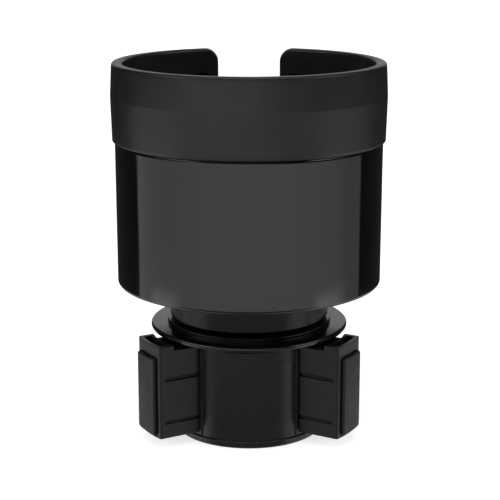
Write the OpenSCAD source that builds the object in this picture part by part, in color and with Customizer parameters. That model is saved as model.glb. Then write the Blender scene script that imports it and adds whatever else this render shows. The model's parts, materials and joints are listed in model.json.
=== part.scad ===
// Car cup holder: a wide cup on a short neck, over a round base that drops into a car's own
// cup holder. Turning the dial under the neck slides three wings in and out of the base,
// because a pin on each wing runs in a spiral groove under the dial.
// Millimetres. The origin is the middle of the base's underside, +Z is up along the axis,
// -Y is the front and the handle slot is at the back, on +Y.

/* [Cup] */
// Inner radius of the cup
cup_bore_r = 50; // [47:0.5:53]
// Wall thickness of the cup at its floor
cup_wall = 2.4; // [1.8:0.1:2.8]
// How much wider the wall is under the sleeve than at the floor
cup_draft = 0.1; // [0:0.1:1]
// Height of the cup, from its underside to the top of the plastic wall
cup_h = 85.2; // [78:0.1:92]
// Thickness of the cup's floor
cup_floor = 2.8; // [2.6:0.1:4]
// Rounding of the outer bottom edge
cup_edge = 1.1; // [1:0.1:3]
// Rounding between the floor and the inside wall
cup_fillet = 3; // [2:0.5:5]

/* [Handle slot] */
// Clear width of the slot in the back of the cup
slot_w = 26; // [20:0.5:32]
// Depth of the slot, from the top of the sleeve to its round bottom
slot_depth = 56; // [46:0.5:64]
// Radius of the corners where the slot meets the rim
slot_corner = 5.8; // [3:0.1:8]

/* [Rubber sleeve] */
// Height of the rubber sleeve
sleeve_h = 34.4; // [28:0.2:40]
// How far the cup wall is set in behind the sleeve
sleeve_seat = 1; // [0.6:0.1:1.2]
// How far the sleeve's lower edge stands out from the cup wall
sleeve_step = 0.7; // [0.4:0.1:1.2]
// How far the ridge round the sleeve stands out from the cup wall
sleeve_ridge = 1.5; // [1.2:0.1:2.2]
// Height of the ridge above the sleeve's lower edge
sleeve_ridge_h = 18.4; // [12:0.2:22]
// How far the outer edge of the rim stands out from the cup wall
sleeve_rim = 0.9; // [0.5:0.1:1.4]
// Rounding of the rim
sleeve_round = 1.1; // [0.6:0.1:1.4]
// Thickness of rubber over the top of the cup wall
sleeve_top = 2; // [1.5:0.1:3]
// Depth of the sleeve's lip inside the cup, from the top of the rim
lip_depth = 10.4; // [7:0.2:16]
// Thickness of the lip
lip_t = 0.85; // [0.6:0.05:1.2]
// Width of the rubber edging beside the slot, seen from inside
edging_w = 4.5; // [3:0.1:7]
// How much thinner the edging inside the wall is at its lower end than at the lip
edging_draft = 0.3; // [0.1:0.05:0.4]
// Thickness of the rubber on the cut edge of the slot
edging_t = 1.2; // [0.8:0.1:2]

/* [Floor pad] */
// Thickness of the rubber pad on the cup's floor
mat_t = 2; // [1.6:0.1:3]
// Free space round the pad
mat_clear = 0.4; // [0.2:0.1:1]
// Number of round grooves in the pad
mat_grooves = 4; // [2:1:5]
// Distance from one groove to the next
mat_pitch = 8.5; // [7:0.5:8.5]
// Width of a groove
mat_groove_w = 1; // [0.6:0.1:2]
// Depth of a groove
mat_groove_depth = 0.7; // [0.4:0.1:1]

/* [Neck] */
// Outer radius of the neck
neck_r = 31.7; // [29:0.1:34]
// Height of the neck
neck_h = 13.7; // [12:0.1:18]
// Wall thickness of the neck
neck_wall = 2.2; // [1.6:0.1:3]
// Thickness of the web across the bottom of the neck
web_t = 2.8; // [2.6:0.1:4]
// Open height between the neck and the dial's collar
neck_gap = 1.35; // [1.2:0.05:2]

/* [Dial] */
// Outer radius of the dial's flange
flange_r = 39.4; // [37:0.1:42]
// Thickness of the flange
flange_t = 2.2; // [1.8:0.1:3]
// Outer radius of the collar on top of the flange
collar_r = 32.9; // [31:0.1:35]
// Height of the collar above the flange
collar_h = 1.65; // [1.2:0.05:2.5]
// Rounding of the flange's rim
flange_round = 0.9; // [0.5:0.1:1]
// Angle that the dial turns to draw the wings all the way in
dial_turn = 110; // [90:1:112]
// Depth of the spiral grooves
groove_depth = 2.2; // [1.8:0.1:2.6]
// Free space between the dial and the base below it
dial_gap = 0.3; // [0.2:0.05:0.5]

/* [Base] */
// Outer radius of the base's wall
base_r = 29.3; // [28:0.1:30.5]
// Thickness of the base's wall
base_wall = 2.2; // [1.8:0.1:2.8]
// Height of the wall, from the bottom plate to the underside of its top
base_h = 37; // [33:0.1:42]
// Thickness of the base's top
base_top_t = 2.3; // [2:0.1:3]
// How much smaller the top's radius is than the wall's
base_shoulder = 0.8; // [0.5:0.1:1.5]
// Thickness of the bottom plate
plate_t = 2.7; // [2.3:0.1:3.5]
// How far the bottom plate stands out past the wall
plate_lip = 0.6; // [0.4:0.1:1.5]
// Chamfer under the plate's rim
plate_chamfer = 0.4; // [0.3:0.1:1]
// Height of the sill under each window
sill_h = 1.2; // [1.2:0.1:2.5]
// How far the frame beside each window stands out
frame_proud = 0.6; // [0.5:0.1:1.4]
// Width of the frame beside each window
frame_w = 1.2; // [1:0.1:2.4]
// Free height at each end of a frame
frame_end = 0.5; // [0.3:0.1:1]

/* [Wings] */
// Width of a wing
wing_w = 18.5; // [16:0.1:20]
// Distance from the axis to the face of a wing that is all the way out
wing_reach = 46; // [45:0.1:49]
// How far the wings draw in
wing_travel = 10; // [8:0.1:10.2]
// Distance from the axis to the inner end of a wing that is all the way out
wing_tail = 19; // [17:0.1:20]
// Free height between a wing and the flange
wing_drop = 0.8; // [0.5:0.1:1.4]
// Length of the full-height part at the wing's outer end, along its side
wing_head = 6.2; // [5:0.1:6.4]
// Thickness of the wing's face
wing_face_t = 1.6; // [1.4:0.1:2.4]
// Thickness of the wing's sides
wing_side_t = 1.9; // [1.8:0.1:2.4]
// Thickness of the wing's floor
wing_floor = 2; // [1.5:0.1:3]
// Rounding of the wing's upright edges
wing_round = 0.8; // [0.4:0.1:1.2]
// Distance from the face to the curved rib behind it
rib_back = 5; // [4:0.1:6]
// Thickness of the curved rib
rib_t = 1.1; // [0.8:0.1:1.6]
// Length of the closed deck at the wing's inner end
deck_l = 11; // [9:0.1:12]
// Thickness of the deck
deck_t = 3.4; // [2.8:0.1:4.5]
// Height of the lower guide groove in each side, above the ground
guide_low_z = 10.3; // [8:0.1:14]
// Height of the upper guide groove, above the ground
guide_high_z = 27.8; // [22:0.1:30]
// Height of a guide groove
guide_h = 1; // [0.9:0.1:1.4]
// Depth of a guide groove
guide_depth = 1; // [0.9:0.1:1.2]
// Distance from the wing's outer corner to the end of a guide groove
guide_margin = 2; // [1.5:0.1:4]
// Length of the wide pocket at each guide groove, by the window
guide_pocket = 2; // [1.2:0.1:3]
// Free space round a wing in its window
wing_clear = 0.25; // [0.2:0.05:0.4]

/* [Wing pins] */
// Radius of the pin that runs in the dial's groove
pin_r = 2; // [1.6:0.1:2.4]
// Distance from the wing's inner end to its pin
pin_inset = 5; // [4:0.1:6]
// Free space at each side of a pin in its slot and groove
pin_clear = 0.2; // [0.15:0.05:0.3]

/* [Wing pads] */
// How far a pad stands out from the wing's face
pad_proud = 1.4; // [0.5:0.1:1.8]
// Depth of the pad's seat in the face
pad_seat = 0.4; // [0.2:0.1:0.6]
// Width of the frame at each side of the pad
pad_side = 2.4; // [1.8:0.1:4]
// Width of the frame above the pad
pad_above = 4.8; // [3:0.1:7]
// Width of the frame below the pad
pad_below = 1; // [0.8:0.1:4]
// Radius of the pad's corners
pad_corner = 1.2; // [1:0.1:3]
// Groove all round the pad in its seat
pad_groove = 0.5; // [0.2:0.05:0.6]
// Radius of the two pegs that hold a pad
peg_r = 1.5; // [1.2:0.1:2]

/* [Fasteners] */
// Radius of the three screws between the cup and the neck
cup_screw_r = 1.5; // [1.2:0.1:1.8]
// Length of their shanks
cup_screw_l = 9; // [7:0.5:10]
// Distance of those screws from the axis
cup_screw_ring = 22; // [18:0.5:24]
// Radius of the three screws that hold the bottom plate
plate_screw_r = 1.3; // [1:0.1:1.5]
// Length of their shanks
plate_screw_l = 9; // [7:0.5:14]
// Distance of those screws from the axis
plate_screw_ring = 21.5; // [20:0.5:22]
// Radius of the bolt on the axis
bolt_r = 2.5; // [2:0.1:3]
// Length of the bolt's shank
bolt_l = 20; // [16:0.5:22]
// Radius of the post that the dial turns on
post_r = 9; // [8:0.1:9.5]
// Running clearance between the post and the dial's bore
post_clear = 0.08; // [0.05:0.01:0.1]

/* [Hidden] */
$fn = 96;

// How far a cut reaches past the solid, and how deep joined solids run into each other
cut = 1;
lap = 0.5;
// Chamfer on small moulded and turned edges
edge_break = 0.3;

// Levels, from the ground up
base_z = plate_t;
base_top_z = base_z + base_h;
dial_z = base_top_z + base_top_t + dial_gap;
flange_z = dial_z + flange_t;
collar_z = flange_z + collar_h;
neck_z = collar_z + neck_gap;
cup_z = neck_z + neck_h;
cup_top_z = cup_z + cup_h;
rim_z = cup_top_z + sleeve_top;
sleeve_z = rim_z - sleeve_h;
lip_z = rim_z - lip_depth;
floor_z = cup_z + cup_floor;
slot_z = rim_z - slot_depth;
web_z = neck_z + web_t;

// Radii of the cup and its sleeve
cup_foot_r = cup_bore_r + cup_wall;
cup_top_r = cup_foot_r + cup_draft;
seat_r = cup_top_r - sleeve_seat;
sleeve_clear = 0.05;
lip_r = cup_bore_r - sleeve_clear - lip_t;
// Overlap of the sleeve's edging with the rest of the sleeve
skin = 0.01;

// Wings
wing_at = [-150, -30, 90];
wing_z = base_z + sill_h + wing_clear;
wing_top_z = dial_z - wing_drop;
wing_low_z = base_top_z - wing_clear;
guide_zs = [guide_low_z, guide_high_z];
corner_u = sqrt(pow(wing_reach, 2) - pow(wing_w / 2, 2));
head_u = corner_u - wing_head;
deck_u = wing_tail + deck_l;
rib_r = wing_reach - rib_back;
face_r = wing_reach - wing_face_t;
pocket_half = wing_w / 2 - wing_side_t;
deck_z = wing_low_z - deck_t;
window_half = wing_w / 2 + wing_clear;
pin_u = wing_tail + pin_inset;
pin_in_u = pin_u - wing_travel;
pin_slot_r = pin_r + pin_clear;
groove_z = dial_z + groove_depth;
pin_top_z = groove_z - dial_gap;
frame_r = base_r + frame_proud;
guide_slope = 0.6;
nib_clear = 0.3;
pin_seat = 0.6;
spigot_clear = 0.15;
spigot_t = 1.8;
neck_chamfer = 0.5;
neck_rib_t = 1.6;
collar_chamfer = 0.4;

// Fasteners
press = 0.02;
key_r = 7;
key_h = 1.5;
key_clear = 0.1;
washer_r = 6.2;
washer_t = 1.2;
bolt_head_r = 4.6;
bolt_head_h = 3;
dial_washer_r = 15;
column_r = bolt_r + 3;
column_tip = 3;
boss_wall = 2;
screw_head = 1.7;
screw_head_h = 1.4;
head_clear = 0.2;
head_sink = 0.1;
head_round = 0.6;
cross_w = 0.7;
cross_depth = 0.9;
bolt_round = 0.8;
hex_r = 2.3;
hex_depth = 2;
bolt_room_r = bolt_head_r + 2;
bolt_room_h = 0.8;

// Pads
pad_half = wing_w / 2 - pad_side;
pad_z0 = wing_z + pad_below;
pad_z1 = wing_top_z - pad_above;
peg_head_r = peg_r + 0.8;
peg_head_t = 0.8;
peg_head_gap = 0.3;
peg_clear = 0.05;
peg_zs = [pad_z0 + (pad_z1 - pad_z0) / 4, pad_z1 - (pad_z1 - pad_z0) / 4];

// Points along an arc in the plane, from angle a0 to angle a1 in n steps
function arc(cx, cy, r, a0, a1, n) =
    [for (i = [0 : n]) let (a = a0 + (a1 - a0) * i / n) [cx + r * cos(a), cy + r * sin(a)]];

// Angle of a point on a circle of radius r that lies v to the side of the X axis
function side_angle(r, v) = asin(v / r);

// Point on the middle line of a spiral groove, t from 0 at the inner end to 1 at the outer
function groove_point(t) =
    let (a = dial_turn * (t - 1), r = pin_in_u + wing_travel * t) [r * cos(a), r * sin(a)];

// Unit direction across the groove at t
function groove_across(t) =
    let (d = groove_point(t + 0.01) - groove_point(t - 0.01)) [d[1], -d[0]] / norm(d);

module three(start = 90) {
    for (i = [0 : 2]) rotate([0, 0, start + 120 * i]) children();
}

module rod(r, z0, z1) {
    translate([0, 0, z0]) cylinder(r = r, h = z1 - z0);
}

// An outline in the plane, stood up across the cup's back wall
module through_back() {
    rotate([90, 0, 0]) mirror([0, 0, 1]) linear_extrude(height = cup_top_r * 1.3) children();
}

// Outline of the handle slot: round bottom, straight sides, corners that open out at the top
module slot_outline(half, bottom, top, corner) {
    polygon(concat(
        arc(0, bottom + half, half, 180, 360, 32),
        arc(half + corner, top - corner, corner, 180, 90, 10),
        [[half + corner, top + cut], [-half - corner, top + cut]],
        arc(-half - corner, top - corner, corner, 90, 0, 10)));
}

module cup_shell() {
    color([0.06, 0.06, 0.065])
    difference() {
        rotate_extrude($fn = 180) polygon(concat(
            [[0, cup_z]],
            arc(cup_foot_r - cup_edge, cup_z + cup_edge, cup_edge, -90, 0, 6),
            [[cup_top_r, sleeve_z - sleeve_clear],
             [seat_r, sleeve_z - sleeve_clear],
             [seat_r, cup_top_z],
             [cup_bore_r, cup_top_z]],
            arc(cup_bore_r - cup_fillet, floor_z + cup_fillet, cup_fillet, 0, -90, 6),
            [[0, floor_z]]));
        through_back() slot_outline(slot_w / 2, slot_z, cup_top_z, slot_corner - edging_t);
        through_back() translate([-slot_w / 2 - edging_t, sleeve_z - sleeve_clear])
            square([slot_w + 2 * edging_t, cup_top_z]);
        three() translate([cup_screw_ring, 0, 0]) {
            rod(cup_screw_r + head_clear, cup_z - cut, floor_z + cut);
            rod(cup_screw_r + screw_head + head_clear, floor_z - screw_head_h - head_sink, floor_z + cut);
        }
        rod(bolt_room_r, cup_z - cut, cup_z + bolt_room_h);
    }
}

// The rubber's section, from its lower edge up over the rim and down inside
function sleeve_outline() = concat(
    [[seat_r + sleeve_clear, sleeve_z],
     [cup_top_r + sleeve_step - edge_break, sleeve_z],
     [cup_top_r + sleeve_step, sleeve_z + edge_break],
     [cup_top_r + sleeve_ridge - edge_break / 2, sleeve_z + sleeve_ridge_h - edge_break],
     [cup_top_r + sleeve_ridge, sleeve_z + sleeve_ridge_h]],
    arc(cup_top_r + sleeve_rim - sleeve_round, rim_z - sleeve_round, sleeve_round, 0, 90, 6),
    arc(lip_r + sleeve_round, rim_z - sleeve_round, sleeve_round, 90, 180, 6),
    [[lip_r, lip_z],
     [cup_bore_r - sleeve_clear, lip_z],
     [cup_bore_r - sleeve_clear, cup_top_z],
     [seat_r + sleeve_clear, cup_top_z]]);

module rubber_sleeve() {
    edge_x = slot_w / 2 + edging_w;
    color([0.1, 0.1, 0.1])
    difference() {
        union() {
            rotate_extrude($fn = 180) polygon(sleeve_outline());
            // The edging beside the slot, inside the wall and across its cut edge
            intersection() {
                difference() {
                    rod(cup_bore_r - sleeve_clear, sleeve_z, lip_z + lip_t);
                    translate([0, 0, sleeve_z - cut])
                        cylinder(r1 = lip_r + edging_draft, r2 = lip_r, h = lip_z + 2 * cut - sleeve_z);
                }
                translate([-edge_x, 0, sleeve_z]) cube([2 * edge_x, cup_top_r * 1.2, sleeve_h]);
            }
            intersection() {
                difference() {
                    rod(seat_r + sleeve_clear + skin, sleeve_z, cup_top_z + cut);
                    rod(cup_bore_r - sleeve_clear - skin, sleeve_z - cut, cup_top_z + 2 * cut);
                }
                translate([-slot_w / 2 - edging_t + sleeve_clear, 0, sleeve_z])
                    cube([slot_w + 2 * (edging_t - sleeve_clear), cup_top_r * 1.2, sleeve_h]);
            }
        }
        through_back() slot_outline(slot_w / 2, slot_z, rim_z, slot_corner);
    }
}

module floor_pad() {
    pad_r = cup_bore_r - cup_fillet - mat_clear;
    color([0.12, 0.12, 0.12])
    difference() {
        rod(pad_r, floor_z, floor_z + mat_t);
        for (i = [1 : mat_grooves]) difference() {
            rod(i * mat_pitch + mat_groove_w, floor_z + mat_t - mat_groove_depth, floor_z + mat_t + cut);
            rod(i * mat_pitch, floor_z, floor_z + mat_t + 2 * cut);
        }
    }
}

// A pan head screw that points down, its head's underside at z = 0
module pan_screw(r, length) {
    difference() {
        union() {
            rotate_extrude() polygon(concat(
                [[0, 0], [r + screw_head, 0]],
                arc(r + screw_head - head_round, screw_head_h - head_round, head_round, 0, 90, 4),
                [[0, screw_head_h]]));
            rotate_extrude() polygon([[0, head_sink], [r, head_sink], [r, r - length],
                                      [r * 0.3, -length], [0, -length]]);
        }
        // Cross recess
        for (a = [0, 90]) rotate([0, 0, a])
            translate([-r, -cross_w / 2, screw_head_h - cross_depth]) cube([2 * r, cross_w, cross_depth + cut]);
    }
}

module cup_screws() {
    color("silver") three() translate([cup_screw_ring, 0, floor_z - screw_head_h - head_sink])
        pan_screw(cup_screw_r, cup_screw_l);
}

module neck() {
    boss_r = cup_screw_r + boss_wall;
    color([0.05, 0.05, 0.055])
    difference() {
        union() {
            difference() {
                rotate_extrude($fn = 144) polygon(concat(
                    [[0, neck_z], [neck_r - neck_chamfer, neck_z], [neck_r, neck_z + neck_chamfer]],
                    [[neck_r, cup_z], [0, cup_z]]));
                rod(neck_r - neck_wall, web_z, cup_z + cut);
            }
            three() translate([cup_screw_ring, 0, 0]) {
                rod(boss_r, web_z - lap, cup_z);
                translate([0, -neck_rib_t / 2, web_z - lap])
                    cube([neck_r - neck_wall - cup_screw_ring + lap, neck_rib_t, cup_z - web_z]);
            }
            // Ribs that stiffen the web between the screw bosses
            three(30) translate([bolt_room_r + lap, -neck_rib_t / 2, web_z - lap])
                cube([neck_r - neck_wall - bolt_room_r, neck_rib_t, neck_h / 3]);
        }
        three() translate([cup_screw_ring, 0, 0]) rod(cup_screw_r + press, web_z + lap, cup_z + cut);
        rod(bolt_r + head_clear, neck_z - cut, web_z + cut);
        // Hexagon socket for the key on top of the post
        translate([0, 0, neck_z - cut]) cylinder(r = key_r + key_clear, h = cut + key_h + key_clear, $fn = 6);
    }
}

module neck_washer() {
    color("gainsboro") difference() {
        rod(washer_r, web_z, web_z + washer_t);
        rod(bolt_r + head_clear, web_z - cut, web_z + washer_t + cut);
    }
}

module neck_bolt() {
    head_z = web_z + washer_t;
    color("silver") difference() {
        union() {
            rotate_extrude() polygon(concat(
                [[0, head_z], [bolt_head_r, head_z]],
                arc(bolt_head_r - bolt_round, head_z + bolt_head_h - bolt_round, bolt_round, 0, 90, 5),
                [[0, head_z + bolt_head_h]]));
            rotate_extrude() polygon([[0, head_z + head_sink], [bolt_r, head_z + head_sink],
                                      [bolt_r, head_z + bolt_round - bolt_l],
                                      [bolt_r - bolt_round, head_z - bolt_l], [0, head_z - bolt_l]]);
        }
        translate([0, 0, head_z + bolt_head_h - hex_depth]) cylinder(r = hex_r, h = hex_depth + cut, $fn = 6);
    }
}

// A slippery ring between the collar and the neck
module dial_washer() {
    color("whitesmoke") difference() {
        rod(dial_washer_r, collar_z + dial_gap, neck_z);
        rod(post_r + dial_gap, collar_z, neck_z + cut);
    }
}

// One spiral groove: two curved sides, and a round end for the pin at each limit
module spiral_groove() {
    steps = 40;
    outer = [for (i = [0 : steps]) groove_point(i / steps) + groove_across(i / steps) * pin_slot_r];
    inner = [for (i = [steps : -1 : 0]) groove_point(i / steps) - groove_across(i / steps) * pin_slot_r];
    translate([0, 0, dial_z - cut]) {
        linear_extrude(height = groove_depth + cut) polygon(concat(outer, inner));
        for (t = [0, 1]) translate(groove_point(t)) cylinder(r = pin_slot_r, h = groove_depth + cut, $fn = 48);
    }
}

module dial() {
    color([0.05, 0.05, 0.05])
    difference() {
        rotate_extrude($fn = 180) polygon(concat(
            [[0, dial_z]],
            arc(flange_r - flange_round, dial_z + flange_round, flange_round, -90, 0, 5),
            arc(flange_r - flange_round, flange_z - flange_round, flange_round, 0, 90, 5),
            [[collar_r, flange_z], [collar_r, collar_z - collar_chamfer], [collar_r - collar_chamfer, collar_z],
             [0, collar_z]]));
        rod(post_r + post_clear, dial_z - cut, collar_z + cut);
        for (a = wing_at) rotate([0, 0, a]) spiral_groove();
    }
}

module base_housing() {
    boss_r = plate_screw_r + boss_wall;
    color([0.06, 0.06, 0.06])
    difference() {
        union() {
            difference() {
                union() {
                    rotate_extrude($fn = 144) polygon([
                        [0, base_z], [base_r, base_z], [base_r, base_top_z - base_shoulder],
                        [base_r - base_shoulder, base_top_z], [base_r - base_shoulder, base_top_z + base_top_t],
                        [0, base_top_z + base_top_t]]);
                    // Upright frames beside the windows
                    for (a = wing_at) rotate([0, 0, a]) for (s = [-1, 1]) intersection() {
                        rod(frame_r, base_z + frame_end, base_top_z - base_shoulder - frame_end);
                        translate([base_r / 2, s > 0 ? window_half : -window_half - frame_w, base_z])
                            cube([frame_r, frame_w, base_h]);
                    }
                }
                rod(base_r - base_wall, base_z - cut, base_top_z);
                for (a = wing_at) rotate([0, 0, a]) {
                    translate([base_r / 2, -window_half, wing_z - wing_clear])
                        cube([frame_r, 2 * window_half, base_top_z - wing_z + wing_clear]);
                    // Slot for the wing's pin
                    translate([0, 0, base_top_z - cut]) linear_extrude(height = base_top_t + 2 * cut)
                        polygon(concat(arc(pin_u, 0, pin_slot_r, -90, 90, 12),
                                       arc(pin_in_u, 0, pin_slot_r, 90, 270, 12)));
                }
            }
            // Nibs that run in the wings' guide grooves
            for (a = wing_at) rotate([0, 0, a]) for (z = guide_zs, s = [-1, 1])
                guide_nib(z, s);
            // Post for the dial, key for the neck, and the column that the bolt bites into
            rod(post_r, base_top_z + lap, neck_z);
            translate([0, 0, neck_z - lap]) cylinder(r = key_r, h = key_h + lap, $fn = 6);
            rod(column_r, web_z + washer_t - bolt_l - column_tip, base_top_z + lap);
            three(30) translate([plate_screw_ring, 0, 0]) rod(boss_r, base_z, base_top_z + lap);
        }
        rod(bolt_r + press, web_z + washer_t - bolt_l - cut, neck_z + key_h + cut);
        three(30) translate([plate_screw_ring, 0, 0])
            rod(plate_screw_r + press, base_z - cut, base_z + plate_screw_l);
    }
}

// A short nib on the window's edge, at height z and on side s of the wing
module guide_nib(z, s) {
    nib_h = guide_h - nib_clear;
    reach = window_half - wing_w / 2 + guide_depth / 2;
    root_u = sqrt(pow(base_r - base_wall, 2) - pow(window_half, 2));
    y0 = s > 0 ? window_half - reach : -window_half - lap;
    translate([root_u + nib_clear, y0, z - nib_h / 2]) cube([base_wall - 2 * nib_clear, reach + lap, nib_h]);
}

module bottom_plate() {
    lip_edge = base_r + plate_lip;
    ring_r = base_r - base_wall - spigot_clear;
    color([0.06, 0.06, 0.06])
    difference() {
        union() {
            rotate_extrude($fn = 144) polygon([
                [0, 0], [lip_edge - plate_chamfer, 0], [lip_edge, plate_chamfer],
                [lip_edge, base_z - edge_break], [lip_edge - edge_break, base_z], [0, base_z]]);
            // Spigot inside the wall
            difference() {
                rod(ring_r, base_z - lap, base_z + sill_h - 2 * spigot_clear);
                rod(ring_r - spigot_t, base_z - cut, base_z + sill_h + cut);
                three(30) translate([plate_screw_ring, 0, 0])
                    rod(plate_screw_r + boss_wall + 2 * spigot_clear, base_z, base_z + sill_h + cut);
            }
        }
        three(30) translate([plate_screw_ring, 0, 0]) {
            rod(plate_screw_r + head_clear, -cut, base_z + cut);
            rod(plate_screw_r + screw_head + head_clear, -cut, screw_head_h + head_sink);
        }
    }
}

module plate_screws() {
    color("silver") three(30) translate([plate_screw_ring, 0, screw_head_h + head_sink]) mirror([0, 0, 1])
        pan_screw(plate_screw_r, plate_screw_l);
}

// Plan of a wing that points along +X: convex face, straight sides, rounded upright edges
module wing_plan() {
    half = wing_w / 2;
    r = wing_round;
    corner_a = side_angle(wing_reach - r, half - r);
    cx = (wing_reach - r) * cos(corner_a);
    polygon(concat(
        [[wing_tail, -half]],
        arc(cx, -half + r, r, -90, -corner_a, 4),
        arc(0, 0, wing_reach, -corner_a + 1, corner_a - 1, 14),
        arc(cx, half - r, r, corner_a, 90, 4),
        [[wing_tail, half]]));
}

// Flat plan between two radii, as wide as the wing's pocket
module pocket_plan(r0, r1) {
    a0 = side_angle(r0, pocket_half);
    a1 = side_angle(r1, pocket_half);
    polygon(concat(arc(0, 0, r1, -a1, a1, 12), arc(0, 0, r0, a0, -a0, 12)));
}

module wing(angle) {
    half = wing_w / 2;
    inner_u = sqrt(pow(frame_r, 2) - pow(half, 2));
    color([0.09, 0.09, 0.09])
    rotate([0, 0, angle])
    difference() {
        translate([0, 0, wing_z]) linear_extrude(height = wing_top_z - wing_z) wing_plan();
        // Everything behind the head is lower, to pass under the base's top
        translate([wing_tail - cut, -wing_w, wing_low_z])
            cube([head_u - wing_tail + cut, 2 * wing_w, wing_top_z]);
        // Pockets open at the top, in front of the rib and behind it
        translate([0, 0, wing_z + wing_floor]) linear_extrude(height = wing_top_z) pocket_plan(rib_r, face_r);
        difference() {
            translate([deck_u, -pocket_half, wing_z + wing_floor])
                cube([rib_r, 2 * pocket_half, wing_top_z]);
            linear_extrude(height = wing_top_z + cut) difference() {
                translate([rib_r / 2, -wing_w]) square([rib_r, 2 * wing_w]);
                circle(r = rib_r - rib_t, $fn = 144);
            }
        }
        // Space under the deck, open at the inner end
        translate([wing_tail - cut, -pocket_half, wing_z + wing_floor])
            cube([deck_l - wing_side_t + cut, 2 * pocket_half, deck_z - wing_z - wing_floor]);
        translate([pin_u, 0, 0]) rod(pin_r + press, deck_z + pin_seat, wing_low_z + cut);
        for (s = [-1, 1], z = guide_zs) guide_cut(z, s, inner_u);
        pad_recess();
        for (z = peg_zs) translate([0, 0, z]) rotate([0, 90, 0])
            rod(peg_r + peg_clear, face_r - peg_head_t - cut, wing_reach + cut);
    }
}

// Guide groove in side s of a wing, with a chamfer above it and a wide pocket by the window
module guide_cut(z, s, inner_u) {
    half = wing_w / 2;
    far_u = corner_u - guide_margin;
    h = guide_h / 2;
    d = guide_depth;
    mirror([0, s > 0 ? 0 : 1, 0]) {
        translate([wing_tail - cut, 0, z]) rotate([90, 0, 90]) linear_extrude(height = far_u - wing_tail + cut)
            polygon([[half - d, -h], [half + cut, -h], [half + cut, h + guide_slope], [half, h + guide_slope],
                [half - d / 2, h], [half - d, h]]);
        translate([inner_u - lap, half - d, z - h]) cube([guide_pocket + lap, d + cut, guide_h + guide_slope]);
    }
}

// A rounded rectangle as a list of points
function rounded_plan(w, h, r) = concat(
    arc(w / 2 - r, h / 2 - r, r, 0, 90, 6), arc(r - w / 2, h / 2 - r, r, 90, 180, 6),
    arc(r - w / 2, r - h / 2, r, 180, 270, 6), arc(w / 2 - r, r - h / 2, r, 270, 360, 6));

// A slab of the pad's outline, grown by g, between radii r0 and r1 round the axis
module pad_slab(g, r0, r1) {
    intersection() {
        translate([0, 0, (pad_z0 + pad_z1) / 2]) rotate([90, 0, 90])
            linear_extrude(height = r1 + cut)
            polygon(rounded_plan(2 * (pad_half + g), pad_z1 - pad_z0 + 2 * g, pad_corner + g));
        difference() {
            rod(r1, pad_z0 - g - cut, pad_z1 + g + cut);
            rod(r0, pad_z0 - g - 2 * cut, pad_z1 + g + 2 * cut);
        }
    }
}

module pad_recess() {
    pad_slab(pad_groove, wing_reach - pad_seat, wing_reach + cut);
}

module wing_pad(angle) {
    color([0.16, 0.16, 0.16])
    rotate([0, 0, angle])
    union() {
        pad_slab(0, wing_reach - pad_seat, wing_reach + pad_proud);
        for (z = peg_zs) translate([0, 0, z]) rotate([0, 90, 0]) {
            rod(peg_r, face_r - peg_head_gap, wing_reach);
            rod(peg_head_r, face_r - peg_head_gap - peg_head_t, face_r - peg_head_gap + peg_clear);
        }
    }
}

module wing_pin(angle) {
    color("silver") rotate([0, 0, angle]) translate([pin_u, 0, 0]) rotate_extrude() polygon([
        [0, deck_z + pin_seat], [pin_r, deck_z + pin_seat], [pin_r, pin_top_z - edge_break],
        [pin_r - edge_break, pin_top_z], [0, pin_top_z]]);
}

cup_shell();
rubber_sleeve();
floor_pad();
cup_screws();
neck();
neck_bolt();
neck_washer();
dial_washer();
dial();
base_housing();
bottom_plate();
plate_screws();
wing(wing_at[0]);  // wing_left
wing(wing_at[1]);  // wing_right
wing(wing_at[2]);  // wing_rear
wing_pad(wing_at[0]);  // pad_left
wing_pad(wing_at[1]);  // pad_right
wing_pad(wing_at[2]);  // pad_rear
wing_pin(wing_at[0]);  // pin_left
wing_pin(wing_at[1]);  // pin_right
wing_pin(wing_at[2]);  // pin_rear
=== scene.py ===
# %% [markdown]
# # A car cup holder, dressed in Blender
#
# The object is a wide glossy cup with a rubber sleeve round its mouth. It stands on a short
# neck, a turning dial and a round base with three sliding wings. The CAD model already has the
# shape of every hard part, in metres, so this file loads it as a fixed frame and never moves
# it. What is left to do here is what CAD does badly: soft rubber forms, surface finish,
# and the light that makes black plastic readable.

# %% Load the frame
import json
import math

import bmesh
import bpy
import numpy as np
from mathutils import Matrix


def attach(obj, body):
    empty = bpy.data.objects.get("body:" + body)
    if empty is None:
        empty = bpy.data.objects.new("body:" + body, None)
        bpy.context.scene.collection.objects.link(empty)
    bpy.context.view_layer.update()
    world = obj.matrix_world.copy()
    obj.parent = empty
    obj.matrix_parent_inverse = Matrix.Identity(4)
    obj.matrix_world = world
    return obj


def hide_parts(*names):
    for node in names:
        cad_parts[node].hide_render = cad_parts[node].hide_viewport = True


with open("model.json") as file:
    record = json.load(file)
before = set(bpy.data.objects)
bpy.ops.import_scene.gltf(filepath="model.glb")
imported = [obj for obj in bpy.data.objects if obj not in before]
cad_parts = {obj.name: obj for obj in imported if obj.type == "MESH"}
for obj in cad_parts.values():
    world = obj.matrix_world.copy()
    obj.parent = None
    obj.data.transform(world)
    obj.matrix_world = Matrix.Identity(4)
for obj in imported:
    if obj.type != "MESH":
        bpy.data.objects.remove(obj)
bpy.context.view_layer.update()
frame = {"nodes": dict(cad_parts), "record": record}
nodes = frame["nodes"]

# %% [markdown]
# ## The camera
#
# The picture was taken from the front and a little above: the mouth of the cup shows as a flat
# ellipse, and the ellipses get rounder towards the base. How fast they get rounder gives the
# distance, and their flattening gives the pitch. A long lens from half a metre away fits both.
# The object stands one pixel left of the middle, which a small shift repeats.

# %% Camera in front, pitched down
CAMERA_AT = (0.0, -0.550, 0.20883)
PITCH = math.radians(13.88)
PICTURE_WIDTH = 500

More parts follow.
